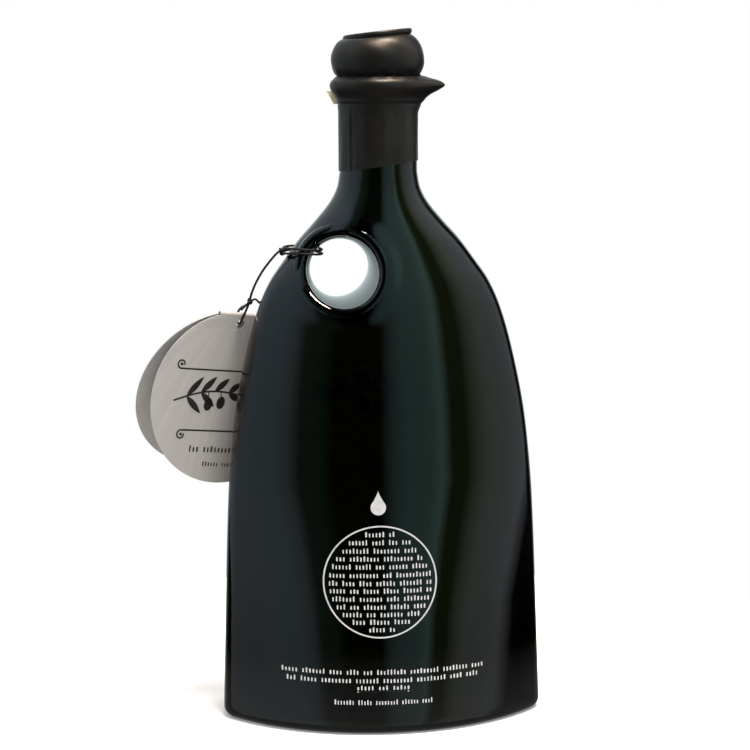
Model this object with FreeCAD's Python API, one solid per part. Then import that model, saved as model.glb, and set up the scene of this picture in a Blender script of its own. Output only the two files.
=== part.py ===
"""Olive oil bottle with a finger hole, a pouring lip, a sealed bulb stopper and a hang tag.

Frame: millimetres, +Z up, origin at the centre of the base. The printed face looks towards -Y,
the pouring lip points to +X, and the finger hole and the tag are on the -X side.

The glass is a loft through level sections. In the body a section is a rounded lens: two wide
arcs for the faces and two small arcs for the edges. It turns into a circle in the neck, and
into a circle with a beak in the lip. The cavity is the same loft drawn in by the wall.
"""

import FreeCAD, Part
import math
import os

V = FreeCAD.Vector

# ---- body of the bottle
BODY_WIDTH = 110.4
BODY_DEPTH = 60.8
SHOULDER_TOP = 187.0        # where the shoulder ends and the round neck starts
EDGE_RADIUS = 10.7          # small arcs of the lens section
HEEL_RADIUS = 3.5
WALL = 3.2
FLOOR_THICKNESS = 6.0
OIL_LEVEL = 162.0

# ---- neck, lip and bore
NECK_DIAMETER = 26.2
BORE_DIAMETER = 18.5
MOUTH_HEIGHT = 218.6
LIP_START = 205.0           # the neck is straight up to here
LIP_FLARE = 2.6             # how far the round lip stands out from the neck
BEAK_REACH = 6.4            # how far the beak stands out from the round lip
BEAK_SPREAD = 21.0          # half angle over which the beak fades into the lip, degrees

# ---- finger hole through the shoulder
HOLE_X = -13.5
HOLE_Z = 154.5
HOLE_WAIST_RADIUS = 9.9
RING_RADIUS = 13.85         # middle of the glass ring round each mouth of the hole
RING_THICKNESS = 4.2
RING_PROUD = 1.1            # how far the ring stands out of the face it follows

# ---- stopper and the shrunk capsule over it
SHANK_CLEARANCE = 0.1
SHANK_LENGTH = 20.0
BULB_FOOT_RADIUS = 13.4
BULB_RADIUS = 15.3
BULB_TOP_RADIUS = 12.2
BULB_HEIGHT = 12.3
DISC_RADIUS = 11.2
DISC_THICKNESS = 1.9
DISC_TILT = 6.1             # the top disc is higher above the beak, degrees
CAPSULE_SKIN = 0.3
CAPSULE_EDGE = 189.0        # middle height of the slanting lower edge
CAPSULE_SLANT = 7.3         # degrees

# ---- tear tab of the capsule
TAB_WIDTH = 4.0
TAB_THICKNESS = 0.3
TAB_FOOT = (13.75, 207.6)   # distance from the axis and height of its lower end
TAB_TIP = (17.3, 215.0)
TAB_AZIMUTH = 160.0

# ---- folded tag
TAG_RADIUS = 30.0
TAG_CARD = 0.45
TAG_FOLD_HEIGHT = 30.0      # from the middle of a leaf to the fold
TAG_FOLD_WIDTH = 16.6
TAG_FOLD_RADIUS = 0.95
TAG_OPENING = 16.3          # angle between the two leaves, degrees
TAG_EYELET = 3.0
TAG_EYELET_HEIGHT = 26.1
TAG_CENTRE = V(-51.4, 8.8, 109.4)
TAG_AZIMUTH = 28.0          # the front leaf faces this far to the right, degrees
TAG_ELEVATION = -6.5
TAG_ROLL = -7.5

# ---- thread
THREAD_DIAMETER = 0.8
EYE_CENTRE = V(-32.6, -1.0, 160.6)
EYE_RADII = (1.7, 1.5, 1.7)
KNOT_CENTRE = V(-43.7, 4.6, 143.3)
KNOT_RADII = (1.25, 1.15, 1.35)
# the longer strand: round the bridge of glass, down to the tag, through its eyelet and back up
THREAD_ROUTE = (
    (-32.6, -0.2, 161.0), (-32.5, 3.6, 161.4), (-31.4, 7.4, 161.6), (-28.9, 10.8, 161.6),
    (-25.2, 12.0, 161.5), (-22.0, 10.2, 161.3), (-20.2, 6.4, 161.1), (-19.4, 2.1, 161.0),
    (-19.4, -2.1, 161.0), (-20.2, -6.4, 161.1), (-22.0, -10.2, 161.4), (-25.2, -12.0, 161.7),
    (-28.8, -10.7, 162.0), (-31.2, -7.3, 162.0), (-32.8, -3.7, 161.6), (-34.6, -0.8, 160.0),
    (-36.6, 0.6, 157.6), (-39.2, 1.8, 154.2), (-41.6, 3.0, 150.0), (-43.2, 4.0, 146.2),
    (-44.0, 4.9, 142.9), (-45.2, 5.2, 139.8), (-46.6, 5.6, 137.0), (-47.3, 7.6, 135.3),
    (-47.8, 10.3, 134.9), (-48.2, 12.2, 136.2), (-48.0, 12.2, 138.6), (-46.8, 10.4, 140.6),
    (-45.2, 7.2, 141.6), (-44.2, 5.4, 142.6),
)
# the second turn round the bridge of glass, beside the first
WRAP_ROUTE = (
    (-32.3, -1.6, 159.9), (-32.0, -5.3, 160.1), (-30.2, -9.1, 160.4), (-27.0, -11.7, 160.5),
    (-23.6, -11.5, 160.2), (-21.2, -8.8, 159.9), (-19.9, -5.0, 159.7), (-19.2, -1.0, 159.6),
    (-19.5, 3.1, 159.6), (-20.7, 7.1, 159.7), (-22.9, 10.5, 160.0), (-26.2, 12.0, 160.1),
    (-29.7, 10.6, 160.2), (-31.9, 7.3, 160.1), (-32.8, 3.6, 159.9), (-33.0, 0.2, 159.8),
)

SECTION_POINTS = 48
BODY_STEPS = 30             # level sections from the base to the neck
RING_STEPS = 24             # sections round the finger hole
CORNER_SHARE = 0.45         # how much of the shorter run the arc of a corner takes

# Fractions that give the body its form, at heights that are shares of the shoulder's height:
# (height, share of the half width, share of the half depth, how round the section is).
# A share of 0 is the neck and 1 the full body; a roundness of 0 keeps EDGE_RADIUS.
FORM = (
    (0.000, 1.000, 1.000, 0.00), (0.090, 0.986, 0.990, 0.00), (0.187, 0.971, 0.970, 0.00),
    (0.358, 0.944, 0.918, 0.00), (0.460, 0.917, 0.868, 0.00), (0.572, 0.861, 0.785, 0.00),
    (0.682, 0.762, 0.665, 0.02), (0.756, 0.667, 0.560, 0.06), (0.804, 0.571, 0.465, 0.12),
    (0.843, 0.452, 0.370, 0.24), (0.880, 0.330, 0.275, 0.42), (0.912, 0.203, 0.182, 0.65),
    (0.945, 0.084, 0.080, 0.86), (0.971, 0.024, 0.023, 0.97), (1.000, 0.000, 0.000, 1.00),
)
# Shares of the flare and of the beak at even heights up the lip.
LIP_FORM = ((0.00, 0.00), (0.00, 0.01), (0.03, 0.08), (0.11, 0.17), (0.25, 0.29),
            (0.52, 0.47), (0.90, 0.77), (1.06, 1.02), (0.88, 0.84), (0.30, 0.33))


def form_at(height):
    """Half width, half depth and edge radius of the body at a height, smooth between the rows of FORM."""
    share = min(max(height / SHOULDER_TOP, 0.0), 1.0)
    index = min(max(k for k, row in enumerate(FORM) if row[0] <= share), len(FORM) - 2)
    (low, high) = FORM[index], FORM[index + 1]
    span = high[0] - low[0]
    t = (share - low[0]) / span

    def slope(at, column):
        before, after = FORM[max(at - 1, 0)], FORM[min(at + 1, len(FORM) - 1)]
        return (after[column] - before[column]) / (after[0] - before[0])

    values = []
    for column in (1, 2, 3):
        ends = low[column] * (2 * t ** 3 - 3 * t ** 2 + 1) + high[column] * (3 * t ** 2 - 2 * t ** 3)
        slopes = slope(index, column) * (t ** 3 - 2 * t ** 2 + t) + slope(index + 1, column) * (t ** 3 - t ** 2)
        values.append(ends + slopes * span)
    wide, deep, roundness = values
    neck = NECK_DIAMETER / 2
    return (neck + wide * (BODY_WIDTH / 2 - neck), neck + deep * (BODY_DEPTH / 2 - neck),
            EDGE_RADIUS + min(roundness, 1.0) * (neck - EDGE_RADIUS))


def lens_arcs(half_width, half_depth, edge_radius):
    """Radius of the wide arcs, how far their centres lie behind the middle, and the edges' centre."""
    if half_depth - edge_radius < 0.01:
        return half_depth, 0.0, 0.0
    edge_centre = half_width - edge_radius
    face_radius = (edge_centre ** 2 + half_depth ** 2 - edge_radius ** 2) / (2 * (half_depth - edge_radius))
    return face_radius, face_radius - half_depth, edge_centre


def rounded_lens(half_width, half_depth, edge_radius, height):
    """Points of a level section made of two wide arcs and two small ones, by normal angle."""
    face_radius, face_centre, edge_centre = lens_arcs(half_width, half_depth, edge_radius)
    reach = math.atan2(edge_centre, face_centre) if edge_centre else math.pi
    points = []
    for step in range(SECTION_POINTS):
        angle = 2 * math.pi * step / SECTION_POINTS
        nx, ny = math.cos(angle), math.sin(angle)
        if math.acos(min(abs(ny), 1.0)) < reach:
            points.append(V(face_radius * nx, face_radius * ny - math.copysign(face_centre, ny), height))
        else:
            points.append(V(math.copysign(edge_centre, nx) + edge_radius * nx, edge_radius * ny, height))
    return points


def face_depth(x, height):
    """How far the face of the body lies from the middle plane at a point."""
    half_width, half_depth, edge_radius = form_at(height)
    face_radius, face_centre, edge_centre = lens_arcs(half_width, half_depth, edge_radius)
    depth = math.sqrt(max(face_radius ** 2 - x ** 2, 0.0)) - face_centre
    beyond = abs(x) - edge_centre
    if beyond > 0:
        depth = min(depth, math.sqrt(max(edge_radius ** 2 - beyond ** 2, 0.0)))
    return depth


def beaked_circle(radius, beak, height):
    """Points of a round section with a beak towards +X."""
    points = []
    for step in range(SECTION_POINTS):
        turn = 360.0 * step / SECTION_POINTS
        away = min(turn, 360.0 - turn) / BEAK_SPREAD
        reach = radius + beak * math.exp(-away ** 2)
        angle = math.radians(turn)
        points.append(V(reach * math.cos(angle), reach * math.sin(angle), height))
    return points


def closed_wire(points):
    """A smooth closed curve through points."""
    curve = Part.BSplineCurve()
    curve.interpolate(Points=points, PeriodicFlag=True)
    return Part.Wire(curve.toShape())


def loft(sections, straight=False):
    """The solid through lists of points, one list for each section."""
    return Part.makeLoft([closed_wire(points) for points in sections], True, straight)


def body_sections(wall, neck_wall, low):
    """Level sections from low up to the neck, drawn in by a wall that changes to neck_wall."""
    sections = []
    for step in range(BODY_STEPS + 1):
        height = low + (SHOULDER_TOP - low) * step / BODY_STEPS
        half_width, half_depth, edge_radius = form_at(height)
        roundness = (edge_radius - EDGE_RADIUS) / (NECK_DIAMETER / 2 - EDGE_RADIUS)
        drawn = wall + roundness * (neck_wall - wall)
        sections.append(rounded_lens(half_width - drawn, half_depth - drawn,
                                     min(edge_radius, half_depth) - drawn, height))
    return sections


def lip_sections(outset):
    """Sections of the flared lip with its beak, spread by outset."""
    sections = []
    for step, (flare, beak) in enumerate(LIP_FORM):
        height = LIP_START + (MOUTH_HEIGHT - LIP_START) * step / (len(LIP_FORM) - 1)
        radius = NECK_DIAMETER / 2 + flare * LIP_FLARE + outset
        sections.append(beaked_circle(radius, beak * BEAK_REACH, height))
    return sections


def outer_glass():
    """The outside of the bottle, without the finger hole."""
    body = body_sections(0.0, 0.0, 0.0)
    lip = lip_sections(0.0)
    solid = loft(body).fuse([loft([body[-1], lip[0]], straight=True), loft(lip)])
    heel = [edge for edge in solid.Edges if edge.BoundBox.ZMax < 0.01]
    return solid.makeFillet(HEEL_RADIUS, heel)


def inner_space():
    """The cavity above the floor and the bore up through the mouth."""
    bore = BORE_DIAMETER / 2
    body = body_sections(WALL, NECK_DIAMETER / 2 - bore, FLOOR_THICKNESS)
    top = beaked_circle(bore, 0.0, MOUTH_HEIGHT + WALL)
    return loft(body).fuse(loft([body[-1], top], straight=True))


def hole_grommet():
    """The wall of the finger hole with its two rings, as a closed loft round the axis of the hole."""
    tube = RING_THICKNESS / 2
    sections = []
    for step in range(RING_STEPS):
        angle = 2 * math.pi * step / RING_STEPS
        outward = V(math.cos(angle), 0, math.sin(angle))
        ring = V(HOLE_X, 0, HOLE_Z) + outward * RING_RADIUS
        depth = face_depth(ring.x, ring.z) + RING_PROUD - tube

        def at(radius, y):
            return V(HOLE_X, y, HOLE_Z) + outward * radius

        waist, inner, outer = HOLE_WAIST_RADIUS, RING_RADIUS - tube, RING_RADIUS + tube
        bend = waist + (inner - waist) / 4
        sections.append(Part.Wire([
            Part.Arc(at(inner, -depth), at(bend, -depth / 2), at(waist, 0)).toShape(),
            Part.Arc(at(waist, 0), at(bend, depth / 2), at(inner, depth)).toShape(),
            Part.Arc(at(inner, depth), at(RING_RADIUS, depth + tube), at(outer, depth)).toShape(),
            Part.makeLine(at(outer, depth), at(outer, -depth)),
            Part.Arc(at(outer, -depth), at(RING_RADIUS, -depth - tube), at(inner, -depth)).toShape()]))
    return Part.makeLoft(sections, True, False, True)


def rod_through_hole(radius):
    """A round rod along the axis of the hole, longer than the body is deep."""
    return Part.makeCylinder(radius, 2 * BODY_DEPTH, V(HOLE_X, -BODY_DEPTH, HOLE_Z), V(0, 1, 0))


def make_glass_and_oil():
    """The bottle with its cavity, and the oil that fills it up to its level."""
    outside = outer_glass().cut(rod_through_hole(RING_RADIUS)).fuse(hole_grommet())
    space = inner_space().cut(rod_through_hole(RING_RADIUS + RING_THICKNESS / 2 + RING_PROUD))
    space = max(space.Solids, key=lambda solid: solid.Volume)
    above = Part.makeBox(4 * BODY_WIDTH, 4 * BODY_WIDTH, MOUTH_HEIGHT,
                         V(-2 * BODY_WIDTH, -2 * BODY_WIDTH, OIL_LEVEL))
    oil = max(space.cut(above).Solids, key=lambda solid: solid.Volume)
    return outside.cut(space), oil


def bulb(skin):
    """The bulb head on the mouth, with its tilted disc on top, spread by skin."""
    foot, top = MOUTH_HEIGHT, MOUTH_HEIGHT + BULB_HEIGHT + skin
    side = Part.Arc(V(BULB_FOOT_RADIUS + skin, 0, foot), V(BULB_RADIUS + skin, 0, foot + BULB_HEIGHT / 2),
                    V(BULB_TOP_RADIUS + skin, 0, top)).toShape()
    outline = Part.Wire([
        Part.makeLine(V(0, 0, foot), V(BULB_FOOT_RADIUS + skin, 0, foot)), side,
        Part.makeLine(V(BULB_TOP_RADIUS + skin, 0, top), V(0, 0, top)),
        Part.makeLine(V(0, 0, top), V(0, 0, foot))])
    head = Part.Face(outline).revolve(V(0, 0, 0), V(0, 0, 1), 360)
    sunk = BULB_HEIGHT / 3
    disc = Part.makeCylinder(DISC_RADIUS + skin, DISC_THICKNESS + sunk + skin)
    rim = [edge for edge in disc.Edges if edge.BoundBox.ZMin > DISC_THICKNESS]
    disc = disc.makeFillet(DISC_THICKNESS / 2.5, rim)
    disc.translate(V(0, 0, -sunk))
    disc.rotate(V(0, 0, 0), V(0, 1, 0), -DISC_TILT)
    disc.translate(V(0, 0, foot + BULB_HEIGHT))
    return head.fuse(disc)


def make_stopper():
    """The bulb-headed stopper, with its shank in the bore."""
    shank = Part.makeCylinder(BORE_DIAMETER / 2 - SHANK_CLEARANCE, SHANK_LENGTH,
                              V(0, 0, MOUTH_HEIGHT - SHANK_LENGTH))
    return bulb(0.0).fuse(shank)


def make_capsule(glass, stopper):
    """The shrunk skin over the stopper, the lip and the neck, with its slanting lower edge."""
    neck = NECK_DIAMETER / 2 + CAPSULE_SKIN
    low = CAPSULE_EDGE - BORE_DIAMETER / 2
    lip = lip_sections(CAPSULE_SKIN)
    collar = Part.Face(closed_wire(lip[-1])).extrude(V(0, 0, CAPSULE_SKIN))
    skirt = loft([beaked_circle(neck, 0.0, low), lip[0]], straight=True).fuse([loft(lip), collar])
    cutter = Part.makeBox(8 * neck, 8 * neck, 4 * neck, V(-4 * neck, -4 * neck, -4 * neck))
    cutter.rotate(V(0, 0, 0), V(0, 1, 0), -CAPSULE_SLANT)
    cutter.translate(V(0, 0, CAPSULE_EDGE))
    skin = skirt.fuse(bulb(CAPSULE_SKIN)).cut(cutter)
    bore = Part.makeCylinder(BORE_DIAMETER / 2 + SHANK_CLEARANCE, MOUTH_HEIGHT - low + SHANK_CLEARANCE,
                             V(0, 0, low))
    skin = skin.cut(glass).cut(stopper).cut(bore)
    return max(skin.Solids, key=lambda solid: solid.Volume)


def make_tear_tab():
    """The free end of the tear strip, which stands out under the lip."""
    (foot, low), (tip, high) = TAB_FOOT, TAB_TIP
    length = math.hypot(tip - foot, high - low)
    strip = Part.makeBox(TAB_THICKNESS, TAB_WIDTH, length, V(0, -TAB_WIDTH / 2, 0))
    strip.rotate(V(0, 0, 0), V(0, 1, 0), math.degrees(math.atan2(tip - foot, high - low)))
    strip.translate(V(foot, 0, low))
    strip.rotate(V(0, 0, 0), V(0, 0, 1), TAB_AZIMUTH)
    return strip


def tag_leaf():
    """One leaf of the tag below its fold line at the origin, with its outer face at z = 0."""
    drop = TAG_FOLD_HEIGHT - TAG_FOLD_RADIUS
    disc = Part.makeCylinder(TAG_RADIUS, TAG_CARD, V(0, -drop, -TAG_CARD))
    above = Part.makeBox(4 * TAG_RADIUS, TAG_RADIUS, 4 * TAG_CARD, V(-2 * TAG_RADIUS, 0, -2 * TAG_CARD))
    flap = Part.makeBox(TAG_FOLD_WIDTH, drop, TAG_CARD, V(-TAG_FOLD_WIDTH / 2, -drop, -TAG_CARD))
    shoulder = TAG_FOLD_WIDTH / 2
    level = math.sqrt(TAG_RADIUS ** 2 - shoulder ** 2) - drop
    beside = [Part.makeBox(TAG_RADIUS, TAG_RADIUS, 4 * TAG_CARD,
                           V(x, min(level, -TAG_CARD), -2 * TAG_CARD))
              for x in (shoulder, -shoulder - TAG_RADIUS)]
    eyelet = Part.makeCylinder(TAG_EYELET / 2, 4 * TAG_CARD, V(0, TAG_EYELET_HEIGHT - drop, -2 * TAG_CARD))
    return disc.cut(above).fuse(flap).cut(beside + [eyelet])


def make_tag():
    """The folded tag: two round leaves joined by a fold at the top."""
    drop = TAG_FOLD_HEIGHT - TAG_FOLD_RADIUS
    turn = 180 - TAG_OPENING
    axis = V(0, 0, -TAG_FOLD_RADIUS)
    front = tag_leaf()
    back = tag_leaf().mirror(V(0, 0, 0), V(0, 1, 0))
    back.rotate(axis, V(1, 0, 0), -turn)
    half = TAG_FOLD_WIDTH / 2
    section = Part.Face(Part.makePolygon([
        V(-half, 0, 0), V(-half, 0, -TAG_CARD), V(half, 0, -TAG_CARD), V(half, 0, 0), V(-half, 0, 0)]))
    fold = section.revolve(axis, V(1, 0, 0), -turn)
    tag = front.fuse([back, fold]).removeSplitter()
    azimuth, elevation = math.radians(TAG_AZIMUTH), math.radians(TAG_ELEVATION)
    roll = math.radians(TAG_ROLL)
    normal = V(math.sin(azimuth) * math.cos(elevation), -math.cos(azimuth) * math.cos(elevation),
               math.sin(elevation))
    level = V(math.cos(azimuth), math.sin(azimuth), 0)
    upright = normal.cross(level)
    across = level * math.cos(roll) + upright * math.sin(roll)
    up = upright * math.cos(roll) - level * math.sin(roll)
    place = FreeCAD.Matrix(across.x, up.x, normal.x, TAG_CENTRE.x,
                           across.y, up.y, normal.y, TAG_CENTRE.y,
                           across.z, up.z, normal.z, TAG_CENTRE.z, 0, 0, 0, 1)
    tag.translate(V(0, drop, 0))
    return tag.transformShape(place)


def thread_tube(name, route):
    """A tube along straight runs joined by tangent arcs, as large as the runs allow."""
    points = [V(*point) for point in route]
    edges, start, tightest = [], points[0], None
    for before, corner, after in zip(points, points[1:], points[2:]):
        run_in, run_out = corner - before, after - corner
        half_turn = run_in.getAngle(run_out) / 2
        back = CORNER_SHARE * min(run_in.Length, run_out.Length)
        radius = back / math.tan(half_turn)
        tightest = radius if tightest is None else min(tightest, radius)
        into, out = V(run_in).normalize(), V(run_out).normalize()
        entry, leave = corner - into * back, corner + out * back
        inward = V(out - into).normalize()
        centre = corner + inward * math.hypot(radius, back)
        middle = centre - inward * radius
        edges += [Part.LineSegment(start, entry).toShape(), Part.Arc(entry, middle, leave).toShape()]
        start = leave
    edges.append(Part.LineSegment(start, points[-1]).toShape())
    path = Part.Wire(edges)
    first = V(points[1] - points[0]).normalize()
    round_end = Part.Wire(Part.makeCircle(THREAD_DIAMETER / 2, points[0], first))
    tube = path.makePipeShell([round_end], True, True)
    expected = path.Length * math.pi * THREAD_DIAMETER ** 2 / 4
    print(f"{name}: length {path.Length:.1f} mm, tightest radius {tightest:.2f} mm, "
          f"volume {tube.Volume / expected:.4f} of section times length")
    return tube


def ball(centre, radii, tubes):
    """A rounded knot round the thread, cut out where the strands run through it."""
    ellipsoid = Part.makeSphere(1.0)
    scale = FreeCAD.Matrix()
    scale.scale(*radii)
    ellipsoid = ellipsoid.transformGeometry(scale)
    ellipsoid.translate(centre)
    return max(ellipsoid.cut(tubes).Solids, key=lambda solid: solid.Volume)


def build():
    """Every sub-part by the name of its node."""
    glass, oil = make_glass_and_oil()
    stopper = make_stopper()
    thread = thread_tube("thread", THREAD_ROUTE)
    wrap = thread_tube("thread_wrap", WRAP_ROUTE)
    return {
        "bottle_glass": glass,
        "oil": oil,
        "stopper": stopper,
        "capsule": make_capsule(glass, stopper),
        "tear_tab": make_tear_tab(),
        "tag": make_tag(),
        "thread": thread,
        "thread_wrap": wrap,
        "thread_eye": ball(EYE_CENTRE, EYE_RADII, [thread, wrap]),
        "thread_knot": ball(KNOT_CENTRE, KNOT_RADII, [thread]),
    }


os.makedirs("parts", exist_ok=True)
for node, shape in build().items():
    shape.exportStep(f"parts/{node}.step")
    box = shape.BoundBox
    print(f"{node}: {len(shape.Solids)} solid, valid {shape.isValid()}, volume {shape.Volume / 1000:.2f} cm3, "
          f"x {box.XMin:.1f}..{box.XMax:.1f} y {box.YMin:.1f}..{box.YMax:.1f} z {box.ZMin:.1f}..{box.ZMax:.1f}")
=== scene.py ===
"""Looks of a half-litre olive oil bottle: dark glass, finger hole, sealed pourer and hang tag.

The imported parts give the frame. Each sub-assembly is a class whose sizes are dataclass fields in
millimetres; meshes are placed in metres, with +Z up, the printed face towards -Y and the pouring
beak towards +X.
"""

from __future__ import annotations

import logging
import random
from dataclasses import dataclass, field
from enum import Enum
from math import acos, asin, atan2, copysign, cos, degrees, exp, hypot, pi, radians, sin, sqrt, tan
from typing import Callable, Sequence

import bpy
from mathutils import Matrix, Vector

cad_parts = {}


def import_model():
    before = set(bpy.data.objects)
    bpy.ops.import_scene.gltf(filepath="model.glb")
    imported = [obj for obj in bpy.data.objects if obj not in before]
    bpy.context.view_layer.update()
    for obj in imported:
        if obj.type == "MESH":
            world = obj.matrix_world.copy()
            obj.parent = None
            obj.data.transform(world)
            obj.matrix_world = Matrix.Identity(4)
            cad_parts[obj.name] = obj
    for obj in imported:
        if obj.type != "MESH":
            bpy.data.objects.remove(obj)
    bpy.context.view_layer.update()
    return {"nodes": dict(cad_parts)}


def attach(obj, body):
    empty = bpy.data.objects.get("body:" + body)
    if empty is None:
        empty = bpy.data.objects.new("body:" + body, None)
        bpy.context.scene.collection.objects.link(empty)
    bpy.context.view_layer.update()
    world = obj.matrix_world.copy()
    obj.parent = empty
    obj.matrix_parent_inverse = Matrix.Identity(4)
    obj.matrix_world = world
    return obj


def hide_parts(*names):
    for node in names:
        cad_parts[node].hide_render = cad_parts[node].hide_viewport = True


LOG = logging.getLogger("oil_bottle")
MM = 0.001
BODY = "root"
WHITE = (1.0, 1.0, 1.0)
Piece = bpy.types.Object
Socket = bpy.types.NodeSocket
Spot = tuple[float, float]
Point = tuple[float, float, float]
Colour = tuple[float, float, float]
Stop = tuple[float, Colour]


class Side(Enum):
    """The two broad faces of the bottle."""

    FRONT = -1
    BACK = 1


class Join(Enum):
    """How one closed piece is combined with another."""

    ADD = "UNION"
    CUT = "DIFFERENCE"


# ------------------------------------------------------------------------------------------------
# Modelling helpers
# ------------------------------------------------------------------------------------------------


def millimetres(x: float, y: float, z: float) -> Vector:
    """A point given in millimetres, in metres."""
    return Vector((x * MM, y * MM, z * MM))


def levels(low: float, high: float, count: int, first: int = 1) -> list[float]:
    """Even steps from low to high, by default without low itself."""
    return [low + (high - low) * step / count for step in range(first, count + 1)]


def circle(x: float, y: float, radius: float, count: int) -> list[Spot]:
    """Even points round a circle."""
    turns = [2 * pi * step / count for step in range(count)]
    return [(x + radius * cos(turn), y + radius * sin(turn)) for turn in turns]


def facing(centre: Point, azimuth: float, elevation: float, roll: float) -> Matrix:
    """The matrix of a plane that faces some way, with Z out of it and Y up.

    Args:
        centre: Its middle, in millimetres.
        azimuth: Where it faces, in degrees from -Y towards +X.
        elevation: How many degrees it faces up.
        roll: How many degrees it is turned in itself.

    Returns:
        The matrix from the plane, in metres, to the frame.
    """
    azimuth, elevation, roll = radians(azimuth), radians(elevation), radians(roll)
    normal = Vector((sin(azimuth) * cos(elevation), -cos(azimuth) * cos(elevation), sin(elevation)))
    level = Vector((cos(azimuth), sin(azimuth), 0.0))
    upright = normal.cross(level)
    across = level * cos(roll) + upright * sin(roll)
    up = upright * cos(roll) - level * sin(roll)
    turn = Matrix((across, up, normal)).transposed().to_4x4()
    return Matrix.Translation(millimetres(*centre)) @ turn


def select_only(piece: Piece) -> None:
    """Makes one piece the whole selection and the active one."""
    bpy.ops.object.select_all(action="DESELECT")
    piece.select_set(True)
    bpy.context.view_layer.objects.active = piece


def placed(name: str, data: bpy.types.ID) -> Piece:
    """Adds an object with its data to the scene."""
    piece = bpy.data.objects.new(name, data)
    bpy.context.scene.collection.objects.link(piece)
    return piece


def primitive(name: str, shape: str, **sizes: object) -> Piece:
    """Adds a basic mesh with its operator and names it."""
    bpy.ops.object.select_all(action="DESELECT")
    getattr(bpy.ops.mesh, f"primitive_{shape}_add")(**sizes)
    piece = bpy.context.active_object
    piece.name = name
    return piece


def settle(piece: Piece) -> Piece:
    """Moves a piece's place, turn and scale into its mesh."""
    select_only(piece)
    bpy.ops.object.transform_apply(location=True, rotation=True, scale=True)
    return piece


def apply_modifier(piece: Piece, modifier: bpy.types.Modifier) -> None:
    """Applies a modifier for good."""
    select_only(piece)
    bpy.ops.object.modifier_apply(modifier=modifier.name)


def smooth(piece: Piece, angle: float) -> Piece:
    """Shades a piece smooth, with sharp edges where faces meet at more than an angle."""
    select_only(piece)
    bpy.ops.object.shade_smooth_by_angle(angle=radians(angle))
    return piece


def face_outwards(piece: Piece) -> Piece:
    """Turns all faces of a closed piece outwards."""
    select_only(piece)
    bpy.ops.object.mode_set(mode="EDIT")
    bpy.ops.mesh.select_all(action="SELECT")
    bpy.ops.mesh.normals_make_consistent(inside=False)
    bpy.ops.object.mode_set(mode="OBJECT")
    return piece


def combine(piece: Piece, other: Piece, how: Join) -> Piece:
    """Combines a closed piece with another, which is used up.

    Args:
        piece: The piece that is kept.
        other: The piece that is added or cut away.
        how: Which of the two.

    Returns:
        The kept piece.
    """
    modifier = piece.modifiers.new("combine", "BOOLEAN")
    modifier.operation = how.value
    modifier.solver = "EXACT"
    modifier.object = other
    apply_modifier(piece, modifier)
    bpy.data.objects.remove(other, do_unlink=True)
    return piece


def merge(pieces: Sequence[Piece], name: str) -> Piece:
    """Joins pieces into one object, which keeps the first one's place and takes the name."""
    bpy.ops.object.select_all(action="DESELECT")
    for piece in pieces:
        piece.select_set(True)
    bpy.context.view_layer.objects.active = pieces[0]
    bpy.ops.object.join()
    pieces[0].name = name
    return pieces[0]


def skin(name: str, rings: Sequence[Sequence[Vector]], closed: bool = True) -> Piece:
    """A skin drawn over rings of points, from the first ring to the last.

    Args:
        name: The name of the piece.
        rings: Rings of equal length, in metres, each listed the same way round.
        closed: Whether the two open ends are filled.

    Returns:
        The piece, with its faces pointing outwards.
    """
    piece = primitive(name, "grid", x_subdivisions=len(rings[0]), y_subdivisions=len(rings) - 1,
                      size=1.0)
    places = [value for ring in rings for point in (*ring, ring[0]) for value in point]
    piece.data.vertices.foreach_set("co", places)
    bpy.ops.object.mode_set(mode="EDIT")
    bpy.ops.mesh.select_all(action="SELECT")
    bpy.ops.mesh.remove_doubles(threshold=1e-7)
    if closed:
        bpy.ops.mesh.fill_holes(sides=0)
    bpy.ops.object.mode_set(mode="OBJECT")
    return face_outwards(piece)


def add_run(data: bpy.types.Curve, points: Sequence[Point], ring: bool,
            kind: str = "POLY") -> bpy.types.Spline:
    """Adds a run of points, in metres, to a curve."""
    run = data.splines.new(kind)
    run.points.add(len(points) - 1)
    for at, point in zip(run.points, points):
        at.co = (*point, 1.0)
    run.use_cyclic_u = ring
    return run


def curve_through(name: str, points: Sequence[Point], width: float, ring: bool = False,
                  nurbs: bool = False) -> Piece:
    """A round curve along points.

    Args:
        name: The name of the curve.
        points: Its points in metres, or its control points if it is a spline.
        width: Diameter of its section, in millimetres.
        ring: Whether its ends meet.
        nurbs: Whether it is a smooth spline and not straight runs.

    Returns:
        The curve object.
    """
    data = bpy.data.curves.new(name, "CURVE")
    data.dimensions = "3D"
    data.bevel_depth = width / 2 * MM
    data.bevel_resolution = 3
    data.use_fill_caps = True
    run = add_run(data, points, ring, "NURBS" if nurbs else "POLY")
    if nurbs:
        run.order_u = 3
        run.use_endpoint_u = not ring
        run.resolution_u = data.resolution_u = 8
    return placed(name, data)


def to_mesh(piece: Piece) -> Piece:
    """Turns a curve into a mesh."""
    select_only(piece)
    bpy.ops.object.convert(target="MESH")
    return bpy.context.active_object


def reshape(piece: Piece, move: Callable[[Vector], Vector]) -> Piece:
    """Moves every vertex of a settled piece to where a rule puts it."""
    for vertex in piece.data.vertices:
        vertex.co = move(vertex.co)
    piece.data.update()
    return piece


# ------------------------------------------------------------------------------------------------
# Finishes
# ------------------------------------------------------------------------------------------------


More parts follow.
